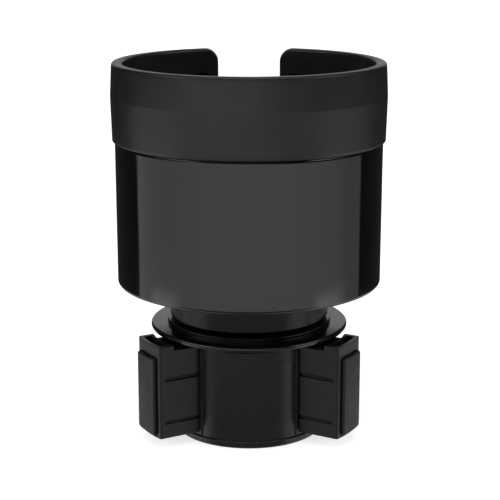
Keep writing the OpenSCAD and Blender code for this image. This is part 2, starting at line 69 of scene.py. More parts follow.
camera = bpy.data.objects.new("camera", bpy.data.cameras.new("camera"))
bpy.context.scene.collection.objects.link(camera)
camera.location = CAMERA_AT
camera.rotation_euler = (math.radians(90) - PITCH, 0, 0)
camera.data.sensor_width = 36
camera.data.lens = 101.93
camera.data.shift_x = 1 / PICTURE_WIDTH
camera.data.clip_start = 0.01
bpy.context.scene.camera = camera
print("camera looks", [round(v, 3) for v in camera.rotation_euler], "lens", camera.data.lens)

# %% [markdown]
# ## Small helpers for node trees
#
# Everything that follows is made of shader nodes, so two helpers keep the cells short. `add`
# makes one node: it sets the node's own options first, and then each socket, either to a plain
# value or to a link from another node. `effect` opens an empty node group with named inputs
# and outputs, which is how Blender shares one effect between many materials.

# %% Helpers: add a node, open a group
def add(tree, kind, sockets=None, **options):
    made = tree.nodes.new("ShaderNode" + kind)
    for name, value in options.items():
        setattr(made, name, value)
    for name, value in (sockets or {}).items():
        socket = made.inputs[name]
        if isinstance(value, bpy.types.NodeSocket):
            tree.links.new(value, socket)
        else:
            socket.default_value = value
    return made


def math_node(tree, operation, *values, clamp=False):
    sockets = {i: v for i, v in enumerate(values)}
    return add(tree, "Math", sockets, operation=operation, use_clamp=clamp).outputs[0]


def effect(name, inputs, outputs):
    group = bpy.data.node_groups.new(name, "ShaderNodeTree")
    for label, value in inputs.items():
        kind = "NodeSocketVector" if value is None else "NodeSocketFloat"
        socket = group.interface.new_socket(label, in_out="INPUT", socket_type=kind)
        if value is not None:
            socket.default_value = value
    for label, kind in outputs.items():
        group.interface.new_socket(label, in_out="OUTPUT", socket_type="NodeSocket" + kind)
    start = group.nodes.new("NodeGroupInput").outputs
    end = group.nodes.new("NodeGroupOutput").inputs
    return group, start, end


print("helpers ready")

# %% [markdown]
# ## Light for black plastic
#
# Black plastic has almost no colour of its own. What the eye reads is the room in its gloss. A
# face that looks at the camera mirrors what lies as far below the horizon as the camera is above
# it: the pale table, which ends at both sides, so the cup's edges turn to dark stripes. Lamps and
# cards could be built as glowing sheets, but each would show in some view. Instead the world
# itself is painted by direction: `soft_box` gives one soft-edged patch of light between two
# compass angles and two heights, and the sum of all patches is the room.

# %% Group: one soft box in the sky
def smooth_step(tree, value, start, end):
    return add(tree, "MapRange", {"Value": value, "From Min": start, "From Max": end},
               interpolation_type="SMOOTHSTEP").outputs["Result"]


soft_box, start, end = effect(
    "soft_box",
    {"Azimuth": 0.0, "Height": 0.0, "Middle": 0.0, "Half Width": 30.0, "Low": 0.0, "High": 40.0,
     "Soft Left": 4.0, "Soft Right": 4.0, "Soft Ends": 4.0, "Strength": 1.0},
    {"Light": "Float"})


def soft_edge(distance, softness):
    return smooth_step(soft_box, distance, math_node(soft_box, "MULTIPLY", softness, -1), softness)


aside = math_node(soft_box, "SUBTRACT", start["Azimuth"], start["Middle"])
aside = math_node(soft_box, "WRAP", aside, 180, -180)
from_left = soft_edge(math_node(soft_box, "ADD", start["Half Width"], aside), start["Soft Left"])
from_right = soft_edge(math_node(soft_box, "SUBTRACT", start["Half Width"], aside), start["Soft Right"])
across = math_node(soft_box, "MULTIPLY", from_left, from_right)
above_low = soft_edge(math_node(soft_box, "SUBTRACT", start["Height"], start["Low"]), start["Soft Ends"])
below_high = soft_edge(math_node(soft_box, "SUBTRACT", start["High"], start["Height"]), start["Soft Ends"])
patch = math_node(soft_box, "MULTIPLY", math_node(soft_box, "MULTIPLY", across, above_low), below_high)
soft_box.links.new(math_node(soft_box, "MULTIPLY", patch, start["Strength"]), end["Light"])
print("soft_box has", len(soft_box.nodes), "nodes")

# %% [markdown]
# Each patch has one job. The table is one even patch with two that weight its left and its middle;
# `table_far` is its bright far part, which the sleeve's upper band mirrors. `near_left` and
# `near_right` light the wing pads, the two corners light the neck and the lower edge of the cup,
# the strips draw the rims, and the overhead light shows in the dial and in the cup's floor.

# %% The room: table, near sides, corners, strips, overhead, ceiling and backdrop
# name: middle and half width (degrees round from the camera, right is plus), low and high end
# (degrees above the horizon), softness of the left side, the right side and the ends, strength
ROOM = {
    "table": (0, 109, -17.4, -7, 2, 2, 0.8, 0.42),
    "table_left": (-10, 99, -17.4, -7, 2, 22, 0.8, 0.36),
    "table_front": (0, 62, -17.4, -7, 35, 35, 0.8, 0.30),
    "table_far": (-18, 44, -7, 0, 35, 35, 0.8, 1.9),
    "table_behind": (180, 78, -95, -16.4, 6, 6, 0.8, 0.36),
    "table_near": (0, 181, -95, -17.4, 1, 1, 0.8, 0.16),
    "near_left": (-92, 26, -95, -17.6, 24, 6, 0.8, 0.9),
    "near_right": (93, 33, -95, -17.6, 10, 14, 0.8, 0.85),
    "corner_left": (-78, 14, -24, -15.7, 8, 8, 0.6, 0.9),
    "corner_right": (74, 14, -24, -15.7, 8, 8, 0.6, 0.9),
    "front_haze": (-20, 40, 0, 50, 20, 20, 6, 0.25),
    "left_strip": (-70, 22, 22, 36, 12, 10, 3, 3.0),
    "right_strip": (76, 20, 22, 36, 8, 8, 3, 3.6),
    "overhead": (0, 70, 56, 92, 30, 30, 6, 1.8),
    "ceiling": (0, 181, 62, 95, 1, 1, 8, 0.5),
    "backdrop": (180, 22, -2, 30, 5, 5, 4, 0.6),
}

world = bpy.data.worlds.new("studio")
bpy.context.scene.world = world
world.use_nodes = True
sky = world.node_tree
sky.nodes.clear()
direction = add(sky, "SeparateXYZ", {0: add(sky, "TexCoord").outputs["Generated"]})
x, y, z = (direction.outputs[i] for i in range(3))
azimuth = math_node(sky, "DEGREES", math_node(sky, "ARCTAN2", x, math_node(sky, "MULTIPLY", y, -1)))
height = math_node(sky, "DEGREES", math_node(sky, "ARCSINE", z))
DIMMEST = 0.03
FIRST_OWN_SOCKET = 2
light = DIMMEST
for name, values in ROOM.items():
    box = add(sky, "Group", {"Azimuth": azimuth, "Height": height}, node_tree=soft_box, name=name)
    for k, value in enumerate(values, FIRST_OWN_SOCKET):
        box.inputs[k].default_value = value
    light = math_node(sky, "ADD", light, box.outputs["Light"])
room = add(sky, "Background", {"Color": (1, 1, 1, 1), "Strength": light})
white = add(sky, "Background", {"Color": (1, 1, 1, 1), "Strength": 1})
seen = add(sky, "LightPath").outputs["Is Camera Ray"]
shown = add(sky, "MixShader", {0: seen, 1: room.outputs[0], 2: white.outputs[0]})
add(sky, "OutputWorld", {"Surface": shown.outputs[0]})
print("world has", len(ROOM), "patches of light")

# %% [markdown]
# ## The floor
#
# The holder stands on a white table that fades into a white background. The floor is a plain
# matt disc with a little glow of its own, so that it meets the white background without a line.
# It keeps the soft shadow where the base touches it. It is hidden from glossy and diffuse rays,
# because the painted room already holds the table that lights the object.

# %% A pale floor disc
FLOOR_RADIUS, FLOOR_DROP = 4.0, 0.0002
PAPER, GLOW = (0.9, 0.9, 0.9, 1), 0.75

bpy.ops.mesh.primitive_circle_add(vertices=96, radius=FLOOR_RADIUS, fill_type="NGON",
                                  location=(0, 0, -FLOOR_DROP))
floor = bpy.context.object
floor.name = "floor"
floor.visible_glossy = False
floor.visible_diffuse = False
paper = bpy.data.materials.new("white_table")
paper.use_nodes = True
tree = paper.node_tree
tree.nodes.clear()
matt = add(tree, "BsdfDiffuse", {"Color": PAPER})
glow = add(tree, "Emission", {"Color": (1, 1, 1, 1), "Strength": GLOW})
both = add(tree, "AddShader", {0: matt.outputs[0], 1: glow.outputs[0]})
add(tree, "OutputMaterial", {"Surface": both.outputs[0]})
floor.data.materials.append(paper)
bpy.context.scene.view_settings.view_transform = "Standard"
print("floor radius", FLOOR_RADIUS, "m")

# %% [markdown]
# ## Meshes from rows of points
#
# The rubber parts are swept or turned shapes, and their edges must be soft, because moulded
# rubber has no sharp ones. A grid of points, row by row, gives full control over where the
# edges curve: the points crowd together there and lie far apart on plain faces. `grid_faces`
# joins such a grid into faces, and can close it along either direction. `new_piece` makes the
# smooth-shaded object, attaches it to the body it moves with and hides the CAD node it stands in for.

# %% Helpers: a piece from a grid of points
MM = 0.001
WELD = 0.001 * MM


def grid_faces(rows, columns, close_rows=False, close_columns=False, first=0):
    faces = []
    for i in range(rows if close_rows else rows - 1):
        for j in range(columns if close_columns else columns - 1):
            a, b = i * columns, ((i + 1) % rows) * columns
            k = (j + 1) % columns
            faces.append((first + a + j, first + a + k, first + b + k, first + b + j))
    return faces


def new_piece(name, points, faces, body, node):
    mesh = bpy.data.meshes.new(name)
    mesh.from_pydata([tuple(p) for p in np.asarray(points, float).reshape(-1, 3) * MM], [], faces)
    tidy = bmesh.new()
    tidy.from_mesh(mesh)
    bmesh.ops.remove_doubles(tidy, verts=tidy.verts, dist=WELD)
    bmesh.ops.recalc_face_normals(tidy, faces=tidy.faces)
    tidy.to_mesh(mesh)
    tidy.free()
    mesh.shade_smooth()
    piece = bpy.data.objects.new(name, mesh)
    bpy.context.scene.collection.objects.link(piece)
    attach(piece, body)
    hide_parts(node)
    print(name, len(mesh.vertices), "points,", len(mesh.polygons), "faces")
    return piece


def arc_points(middle, radius, start, end, steps):
    turns = np.radians(np.linspace(start, end, steps + 1))
    return [(middle[0] + radius * math.cos(t), middle[1] + radius * math.sin(t)) for t in turns]


print("mesh helpers ready")

# %% [markdown]
# ## The rubber sleeve
#
# A band of black rubber wraps the top of the cup. It flares to a ridge, tapers to a rounded rim
# and turns down inside as a thin lip. The handle slot cuts through it at the back, with corners
# that open out at the rim, and a strip of edging runs down inside beside the slot. A boolean cut
# would leave sharp, ragged edges there, so the sleeve is one swept grid instead. Each row has its
# own height and radius, and runs round until it meets the slot at that height. The last columns
# curve inwards, which rounds the cut edge as the mould does. Away from the slot the rows below the
# lip are tucked into the cup's wall, where they don't show.

# %% The sleeve's section, from the lower edge over the rim to the lip
SLEEVE_LOW, RIDGE, LIP_LOW, RIM = 118.4, 135.6, 138.0, 148.4
LOW_R, RIDGE_R, RIM_R, LIP_R = 53.55, 54.0, 53.4, 49.1
TUCKED_R, LIP_THICKER = 50.6, 0.3
RIM_ROUND = 1.1
SLOT_HALF, SLOT_CORNER = 13.0, 5.8

levels = [SLEEVE_LOW, SLEEVE_LOW + 0.03, SLEEVE_LOW + 0.1, 119.5, 122, 124.5, 127, 129.5, 132, 134,
          RIDGE - 0.3, RIDGE, RIDGE + 0.3, 137.2, 137.75, LIP_LOW, 138.25, 139.2, 140.6, 142, 143.2,
          144.2, 145.2, 146.2, RIM - RIM_ROUND]
levels = np.array(levels, float)
bends = [SLEEVE_LOW, SLEEVE_LOW + 0.03, SLEEVE_LOW + 0.1, RIDGE, RIM - RIM_ROUND]
outer_r = np.interp(levels, bends, [LOW_R - 0.07, LOW_R - 0.02, LOW_R, RIDGE_R, RIM_R])
below_lip = (LIP_LOW - np.minimum(levels, LIP_LOW)) / (LIP_LOW - SLEEVE_LOW)
inner_r = LIP_R + LIP_THICKER * below_lip
rim_turn = np.radians(np.arange(15, 91, 15))
rim_levels = RIM - RIM_ROUND * (1 - np.sin(rim_turn))
row_z = np.concatenate([levels, rim_levels])
row_out = np.concatenate([outer_r, RIM_R - RIM_ROUND * (1 - np.cos(rim_turn))])
row_in = np.concatenate([inner_r, LIP_R + RIM_ROUND * (1 - np.cos(rim_turn))])
print(len(row_z), "levels, wall", round(row_out[0] - row_in[0], 2), "mm at the foot")

# %% Helpers: sweep one row round to the slot on both sides
EDGE_ROUND = 0.6
EDGING_WIDTH = 4.5
ROUND_STEPS = 168
edge_turn = np.radians([0, 22, 45, 67, 90])
rounding = 1 - np.cos(edge_turn)
sinking = 1 - np.sin(edge_turn)
shelf = [1.2, 2.2, 3.3, EDGING_WIDTH - 0.35, EDGING_WIDTH - 0.1, EDGING_WIDTH, EDGING_WIDTH + 0.05,
         EDGING_WIDTH + 1]
tuck_shares = (0.15, 0.45, 1.0)


def slot_side(z):
    above = max(0.0, z - (RIM - SLOT_CORNER))
    return SLOT_HALF + SLOT_CORNER - math.sqrt(max(0.0, SLOT_CORNER ** 2 - above ** 2))


def waviness(turn, z):
    return 0.03 * math.sin(3 * turn + z * 0.05) + 0.02 * math.sin(7 * turn + 1.3)


def swept_row(r, z, inside, tucks, side, wavy=True):
    above = max(0.0, z - (RIM - SLOT_CORNER)) / SLOT_CORNER
    edge = EDGE_ROUND * math.sqrt(max(0.0, 1 - above ** 2))
    into_wall = 1 if inside else -1
    half = [(side + edge * out, r + into_wall * edge * sink) for out, sink in zip(rounding, sinking)]
    half += [(side + step, r) for step in shelf]
    if tucks:
        for k, share in zip((-5, -4, -3), tuck_shares):
            half[k] = (half[k][0], r + (TUCKED_R - r) * (share ** 2 * 0.35 if share < 1 else 1))
        for k in (-2, -1):
            half[k] = (half[k][0], TUCKED_R)
    turns = [math.asin(x / q) for x, q in half]
    radii = [q for _, q in half]
    middle = np.linspace(turns[-1], 2 * math.pi - turns[-1], ROUND_STEPS + 1)[1:-1]
    turns = turns + list(middle) + [2 * math.pi - t for t in reversed(turns)]
    radii = radii + [radii[-1]] * len(middle) + list(reversed(radii))
    radii = [q + into_wall * abs(wavy * waviness(t, z)) for t, q in zip(turns, radii)]
    return [(q * math.sin(t), q * math.cos(t), z) for t, q in zip(turns, radii)]


def band_faces(rows):
    """The grid, closed from the inside back to the outside, and a strip of faces at each cut end."""
    columns = len(rows[0])
    faces = grid_faces(len(rows), columns, close_rows=True)
    for end_column in (0, columns - 1):
        for i in range(len(rows) // 2 - 1):
            a, b = i * columns + end_column, (i + 1) * columns + end_column
            c, d = (len(rows) - 1 - i) * columns + end_column, (len(rows) - 2 - i) * columns + end_column
            faces.append((a, b, d, c))
    return faces


print("one row has", len(swept_row(RIM_R, SLEEVE_LOW, False, False, SLOT_HALF)), "points")

# %% Build the sleeve
rows = [swept_row(r, z, False, False, slot_side(z)) for r, z in zip(row_out, row_z)]
rows += [swept_row(r, z, True, z < LIP_LOW - 0.01, slot_side(z)) for r, z in zip(row_in[::-1], row_z[::-1])]
sleeve = new_piece("sleeve_band", rows, band_faces(rows), "holder", "rubber_sleeve")

# %% [markdown]
# ## The gloss shoulder under the sleeve
#
# The CAD sleeve starts a little lower than the real one does, where the cup's wall steps in for
# it. Between the step and the real sleeve's lower edge the cup's gloss has to go on, so a thin
# ring closes the step. Its foot rises out of the wall at a slope of less than a degree, because
# a surface as smooth as a mirror shows even a hair's breadth of a step as a line.

# %% A flush gloss ring over the cup's step
STEP, INSIDE_R, SUNK = 113.95, 49.97, 0.05
shoulder = [(52.38, 106.2, TUCKED_R), (52.425, 108.5, TUCKED_R), (52.46, 110.5, TUCKED_R),
            (52.485, 112, TUCKED_R), (52.507, 113.2, 50.3), (52.52, STEP, INSIDE_R),
            (52.527, 115.4, INSIDE_R), (52.53, 117, INSIDE_R), (52.53, SLEEVE_LOW + 0.05, INSIDE_R)]


def shoulder_row(r, z, inside):
    return swept_row(r, z, inside, inside, SLOT_HALF + (SUNK if z < STEP else 0), wavy=False)


rows = [shoulder_row(out, z, False) for out, z, _ in shoulder]
rows += [shoulder_row(into, z, True) for _, z, into in shoulder[::-1]]
ring = new_piece("cup_shoulder", rows, band_faces(rows), "holder", "rubber_sleeve")

# %% [markdown]
# ## The pad on the cup's floor
#
# Inside, the bottle stands on a round rubber pad with ring-shaped grooves. It is a turned shape,
# so a short list of radius and height is enough, and every groove gets rounded shoulders.

# %% A grooved disc, turned from its section
PAD_FLOOR, PAD_TOP, PAD_R = 64.0, 66.0, 46.6
GROOVES, GROOVE_PITCH, GROOVE_WIDE, GROOVE_DEEP = 4, 8.5, 1.0, 0.7

HOLE_R = 0.2
side_of_groove = [(-3, 0), (-0.5, 0.02), (-0.15, 0.15), (0, 0.4), (0.25, GROOVE_DEEP)]

turned = [(HOLE_R, PAD_TOP)]
for i in range(1, GROOVES + 1):
    near, far = i * GROOVE_PITCH, i * GROOVE_PITCH + GROOVE_WIDE
    turned += [(near + step, PAD_TOP - drop) for step, drop in side_of_groove]
    turned += [(far - step, PAD_TOP - drop) for step, drop in side_of_groove[::-1]]
turned += [(PAD_R - 0.7, PAD_TOP)] + arc_points((PAD_R - 0.5, PAD_TOP - 0.5), 0.5, 80, 0, 4)
turned += [(PAD_R, PAD_FLOOR + 0.1), (PAD_R - 0.2, PAD_FLOOR), (HOLE_R, PAD_FLOOR)]
circle = np.linspace(0, 2 * math.pi, 145)[:-1]
rows = [[(r * math.cos(t), r * math.sin(t), z) for t in circle] for r, z in turned]
faces = grid_faces(len(rows), len(circle), close_columns=True)
faces += [tuple(range(len(circle))), tuple((len(rows) - 1) * len(circle) + k for k in range(len(circle)))]
floor_pad = new_piece("cup_floor_pad", rows, faces, "holder", "floor_pad")

# %% [markdown]
# ## The wing pads
#
# Each wing carries a rubber pad that grips the well in the car. It is a rounded rectangle bent
# round the base's axis, a little fuller in the middle, with a soft edge. A bevelled block would
# stay flat, so the outline is shrunk ring by ring towards the middle, and each ring is set at its
# own height above the wing's face.

# %% One crowned pad, made three times
PAD_HALF, PAD_LOW, PAD_HIGH, PAD_CORNER = 6.85, 5.15, 36.7, 1.2
PAD_SEAT_R, PAD_FACE_R = 45.62, 47.4
SOFT, FULLER, SPACING = 0.55, 0.10, 1.2
WING_AT = {"left": -150, "right": -30, "rear": 90}

half_tall = (PAD_HIGH - PAD_LOW) / 2


def pad_outline(steps=5):
    w, h, c = PAD_HALF, half_tall, PAD_CORNER
    corners = ((w - c, h - c, 0), (c - w, h - c, 90), (c - w, c - h, 180), (w - c, c - h, 270))
    points = []
    for k, (cx, cy, turn) in enumerate(corners):
        points += arc_points((cx, cy), c, turn, turn + 90, steps)
        nx, ny, _ = corners[(k + 1) % 4]
        last = points[-1]
        first = (nx + c * math.cos(math.radians(turn + 90)), ny + c * math.sin(math.radians(turn + 90)))
        count = max(2, round(math.dist(last, first) / SPACING))
        points += [tuple(a + (b - a) * i / count for a, b in zip(last, first)) for i in range(1, count)]
    return points


outline = pad_outline()
rings = [(0.0, PAD_SEAT_R), (0.0, PAD_FACE_R - SOFT)]
rings += [(SOFT * (1 - math.cos(t)), PAD_FACE_R - SOFT * (1 - math.sin(t)))
          for t in np.radians((20, 40, 60, 78))]
rings += [(inset, PAD_FACE_R - 0.02) for inset in (SOFT + 0.2, 1.4, 2.4, 3.6, 5.0, 6.2, PAD_HALF)]


def pad_points(turn):
    middle = (PAD_LOW + PAD_HIGH) / 2
    cos_t, sin_t = math.cos(math.radians(turn)), math.sin(math.radians(turn))
    rows = []
    for inset, radius in rings:
        row = []
        for v, w in outline:
            v, w = v * (1 - inset / PAD_HALF), w * (1 - inset / half_tall)
            crown = (1 - (v / PAD_HALF) ** 2) * (1 - (w / half_tall) ** 2) if radius > PAD_FACE_R - 0.1 else 0
            u = math.sqrt((radius + FULLER * crown) ** 2 - v * v)
            row.append((u * cos_t - v * sin_t, u * sin_t + v * cos_t, middle + w))
        rows.append(row)
    return rows


pads = []
for side, turn in WING_AT.items():
    rows = pad_points(turn)
    faces = grid_faces(len(rows), len(outline), close_columns=True) + [tuple(range(len(outline)))]
    pads.append(new_piece("grip_pad_" + side, rows, faces, "wing_" + side, "pad_" + side))

# %% [markdown]
# ## Shared effects
#
# Nine finishes dress this object, and most of them share the same small effects. Each effect is
# built once as a node group. It is driven by the object's own coordinates, in metres, so its size
# is real and no piece has to be unwrapped first.
#
# Three helpers come first: the place on the object, one noise of a given scale, and the distance
# from the object's upright axis, round which most of it was turned.

# %% Helpers: place, noise and distance from the axis
def own_place(tree):
    return add(tree, "TexCoord").outputs["Object"]


def noise(tree, place, scale, detail, **more):
    return add(tree, "TexNoise", {"Vector": place, "Scale": scale, "Detail": detail, **more}).outputs[0]


def from_axis(tree, place):
    squares = [math_node(tree, "POWER", place.outputs[k], 2) for k in (0, 1)]
    return math_node(tree, "SQRT", math_node(tree, "ADD", *squares))


print("pattern helpers ready")

# %% [markdown]
# `grain` is the fine relief that a spark-eroded mould leaves on plastic and rubber: small bumps
# on top of wider, weaker ones.

# %% Group: grain
grain, start, end = effect("grain", {"Scale": 3000.0, "Wider": 0.3}, {"Height": "Float"})
WIDER_SCALE = 0.12
place = own_place(grain)
small = noise(grain, place, start["Scale"], 3, Roughness=0.6)
wide = noise(grain, place, math_node(grain, "MULTIPLY", start["Scale"], WIDER_SCALE), 2)
height = math_node(grain, "ADD", small, math_node(grain, "MULTIPLY", wide, start["Wider"]))
grain.links.new(height, end["Height"])
print("grain has", len(grain.nodes), "nodes")

# %% [markdown]
# `worn_edge` looks for edges with Cycles' Bevel node. That node gives the normal the surface
# would have if its edges were rounded, and on flat faces it equals the real normal. So the
# difference between the two marks the edges. A noise breaks the mark into patches, and an
# occlusion test takes it out of inside corners, where nothing rubs. The small bevel's normal is
# passed on as well: it puts a fine line of light on every moulded edge.

# %% Group: worn edges and their rounding
worn_edge, start, end = effect(
    "worn_edge", {"Rounding": 0.0003, "Width": 0.0008, "Patches": 150.0, "Amount": 1.0},
    {"Mask": "Float", "Normal": "Vector"})
rounded = add(worn_edge, "Bevel", {"Radius": start["Rounding"]}, samples=6).outputs[0]
widened = add(worn_edge, "Bevel", {"Radius": start["Width"]}, samples=4).outputs[0]
true_normal = add(worn_edge, "NewGeometry").outputs["Normal"]
agree = add(worn_edge, "VectorMath", {0: widened, 1: true_normal}, operation="DOT_PRODUCT").outputs["Value"]
edge_mark = smooth_step(worn_edge, agree, 0.99, 0.80)
broken = smooth_step(worn_edge, noise(worn_edge, own_place(worn_edge), start["Patches"], 4), 0.42, 0.62)
CORNER_REACH = 0.002
open_air = add(worn_edge, "AmbientOcclusion", {"Distance": CORNER_REACH}, samples=4).outputs["AO"]
outside = smooth_step(worn_edge, open_air, 0.55, 0.9)
mask = math_node(worn_edge, "MULTIPLY", math_node(worn_edge, "MULTIPLY", edge_mark, broken), outside)
worn_edge.links.new(math_node(worn_edge, "MULTIPLY", mask, start["Amount"]), end["Mask"])
worn_edge.links.new(rounded, end["Normal"])
print("worn_edge has", len(worn_edge.nodes), "nodes")

# %% [markdown]
# `smudges` are the faint handling marks on anything that is picked up: broad soft patches that
# are a little rougher than the rest. They only change the roughness, by a few hundredths.

# %% Group: smudges
smudges, start, end = effect("smudges", {"Scale": 40.0, "From": 0.05, "To": 0.12}, {"Value": "Float"})
blur = noise(smudges, own_place(smudges), start["Scale"], 5, Roughness=0.62, Distortion=0.6)
value = add(smudges, "MapRange", {"Value": blur, "From Min": 0.38, "From Max": 0.68,
                                  "To Min": start["From"], "To Max": start["To"]},
            interpolation_type="SMOOTHSTEP").outputs["Result"]
smudges.links.new(value, end["Value"])
print("smudges has", len(smudges.nodes), "nodes")

# %% [markdown]
# `dust` settles on what faces up. It is a thin haze with a few specks in it. The specks are the
# middles of Voronoi cells, and a second noise decides which cells have one.

# %% Group: dust
dust, start, end = effect("dust", {"Specks": 700.0, "Amount": 0.3}, {"Mask": "Float"})
place = own_place(dust)
facing = add(dust, "SeparateXYZ", {0: add(dust, "NewGeometry").outputs["Normal"]}).outputs["Z"]
upward = smooth_step(dust, facing, -0.2, 0.9)
cells = add(dust, "TexVoronoi", {"Vector": place, "Scale": start["Specks"]})
chosen = smooth_step(dust, add(dust, "SeparateColor", {0: cells.outputs["Color"]}).outputs[0], 0.90, 0.93)
speck = math_node(dust, "MULTIPLY", smooth_step(dust, cells.outputs["Distance"], 0.22, 0.10), chosen)
HAZE_SCALE, HAZE_SHARE = 90, 0.35
haze = smooth_step(dust, noise(dust, place, HAZE_SCALE, 6), 0.45, 0.8)
settling = math_node(dust, "ADD", speck, math_node(dust, "MULTIPLY", haze, HAZE_SHARE))
amount = math_node(dust, "MULTIPLY", math_node(dust, "MULTIPLY", settling, upward), start["Amount"])
dust.links.new(amount, end["Mask"])
print("dust has", len(dust.nodes), "nodes")

# %% [markdown]
# `hairlines` are the finest scratches on a polished face. A noise that is stretched a hundredfold
# gives long, thin streaks, and only the places where it passes its middle value are kept, which
# makes them hair-thin. They show where light grazes the gloss and nowhere else.

# %% Group: hairline scratches
hairlines, start, end = effect("hairlines", {"Scale": 60.0, "Amount": 1.0}, {"Mask": "Float"})
SCRATCH_TILTS, SCRATCH_AXIS = (18, -37, 71), (0.4, 0.7, 0.59)
STRETCH, HAIR = 0.02, 0.004
place = own_place(hairlines)
lines = []
for tilt in SCRATCH_TILTS:
    turned = add(hairlines, "VectorRotate",
                 {"Vector": place, "Angle": math.radians(tilt), "Axis": SCRATCH_AXIS})
    stretched = add(hairlines, "Mapping", {"Vector": turned.outputs[0], "Scale": (1, 1, STRETCH)}).outputs[0]
    streak = noise(hairlines, stretched, start["Scale"], 2)
    near = math_node(hairlines, "ABSOLUTE", math_node(hairlines, "SUBTRACT", streak, 0.5))
    lines.append(smooth_step(hairlines, near, HAIR, 0.0))
total = math_node(hairlines, "ADD", math_node(hairlines, "ADD", lines[0], lines[1]), lines[2])
SCRATCHED_SPOTS = 55
where = smooth_step(hairlines, noise(hairlines, place, SCRATCHED_SPOTS, 3), 0.52, 0.7)
kept = math_node(hairlines, "MULTIPLY", math_node(hairlines, "MULTIPLY", total, where), start["Amount"])
hairlines.links.new(kept, end["Mask"])
print("hairlines has", len(hairlines.nodes), "nodes")

# %% [markdown]
# ## Finishes
#
# Each finish is one Principled shader with what is the same everywhere set on its own sockets.
# `use` places a shared effect in it, `blend` mixes two colours by a mask, `relief` turns a height
# into a bump on top of the rounded edges, and `plug` links the results to the shader.

# %% Helpers: a finish and its parts
look = {}
DUST_GREY = (0.12, 0.118, 0.115)


def spaced(named):
    return {name.replace("_", " "): value for name, value in named.items()}


def new_finish(slot, **settings):
    finish = bpy.data.materials.new(slot)
    finish.use_nodes = True
    tree = finish.node_tree
    tree.nodes.clear()
    shader = add(tree, "BsdfPrincipled", spaced(settings))
    add(tree, "OutputMaterial", {"Surface": shader.outputs[0]})
    look[slot] = finish
    return tree, shader


def use(tree, group, **sockets):
    return add(tree, "Group", spaced(sockets), node_tree=group)


def blend(tree, factor, first, second):
    first = (*first, 1) if isinstance(first, tuple) else first
    return add(tree, "Mix", {0: factor, 6: first, 7: (*second, 1)}, data_type="RGBA").outputs[2]


def relief(tree, height, depth, normal):
    return add(tree, "Bump", {"Height": height, "Distance": depth, "Normal": normal}).outputs[0]


def plug(tree, shader, **values):
    for name, value in spaced(values).items():
        tree.links.new(value, shader.inputs[name])


print("finish helpers ready")

# %% [markdown]
# ## Gloss black: the cup
#
# The cup is polished plastic, so it is nearly a black mirror with a thin reflection of the room.
# A coat on top of a matt base could do it too, but one smooth skin is what the real part has.
# The mould's polish is never perfectly flat: a very shallow, wide wave bends the edges of the
# reflections a little. Smudges and hairlines keep the gloss from looking drawn.

# %% Finish: gloss_black
tree, shader = new_finish("gloss_black", IOR=1.53)
edge = use(tree, worn_edge, Rounding=0.0004, Width=0.0009, Amount=0.6)
marks = use(tree, smudges, Scale=34.0, From=0.035, To=0.085)
scratch = use(tree, hairlines, Scale=70.0, Amount=0.5)
settled = use(tree, dust, Specks=600.0, Amount=0.12)
clean = blend(tree, edge.outputs["Mask"], (0.0052, 0.0052, 0.0058), (0.02, 0.02, 0.021))
rough = math_node(tree, "ADD", marks.outputs["Value"], math_node(tree, "MULTIPLY", edge.outputs["Mask"], 0.2))
rough = math_node(tree, "ADD", rough, math_node(tree, "MULTIPLY", scratch.outputs["Mask"], 0.12))
wave = noise(tree, own_place(tree), 42, 1)
dusty = blend(tree, settled.outputs["Mask"], clean, (0.16, 0.155, 0.15))
skin = relief(tree, wave, 0.00012, edge.outputs["Normal"])
plug(tree, shader, Base_Color=dusty, Roughness=rough, Normal=skin)
print("gloss_black ready")

# %% [markdown]
# ## Rubber: the sleeve and the floor pad
#
# Soft black rubber is satin rather than matt: it still mirrors the table as a broad blur, and that
# blur is what rounds the band in the picture. Its colour is uneven in faint clouds, and dust clings
# to it more than to the plastic. The floor pad takes the same rubber.

# %% Finish: sleeve_rubber
tree, shader = new_finish("sleeve_rubber", IOR=1.46)
edge = use(tree, worn_edge, Rounding=0.0002, Width=0.0008, Amount=0.5, Patches=220.0)
settled = use(tree, dust, Specks=900.0, Amount=0.2)
cloud = noise(tree, own_place(tree), 60, 5, Roughness=0.6)
clouded = blend(tree, smooth_step(tree, cloud, 0.3, 0.7), (0.012, 0.012, 0.0125), (0.017, 0.017, 0.0176))
rubbed = blend(tree, edge.outputs["Mask"], clouded, (0.026, 0.026, 0.027))
marks = use(tree, smudges, Scale=55.0, From=0.33, To=0.40)
pores = use(tree, grain, Scale=2600.0, Wider=0.8)
dusty = blend(tree, settled.outputs["Mask"], rubbed, DUST_GREY)
skin = relief(tree, pores.outputs["Height"], 0.000012, edge.outputs["Normal"])
plug(tree, shader, Base_Color=dusty, Roughness=marks.outputs["Value"], Normal=skin)
print("sleeve_rubber ready")

# %% [markdown]
# ## Satin plastics: neck, dial, base and wings
#
# These four are black plastics from moulds with different surfaces. The neck and the dial are half
# polished, the base and wings are finely eroded. Four copies of the node tree would drift apart,
# so one function makes them, and only the blackness, the index of refraction, the polish and the
# grain differ. The wings also get faint level streaks, from sliding in and out of their windows:
# a noise that is squeezed in height and stretched outwards.

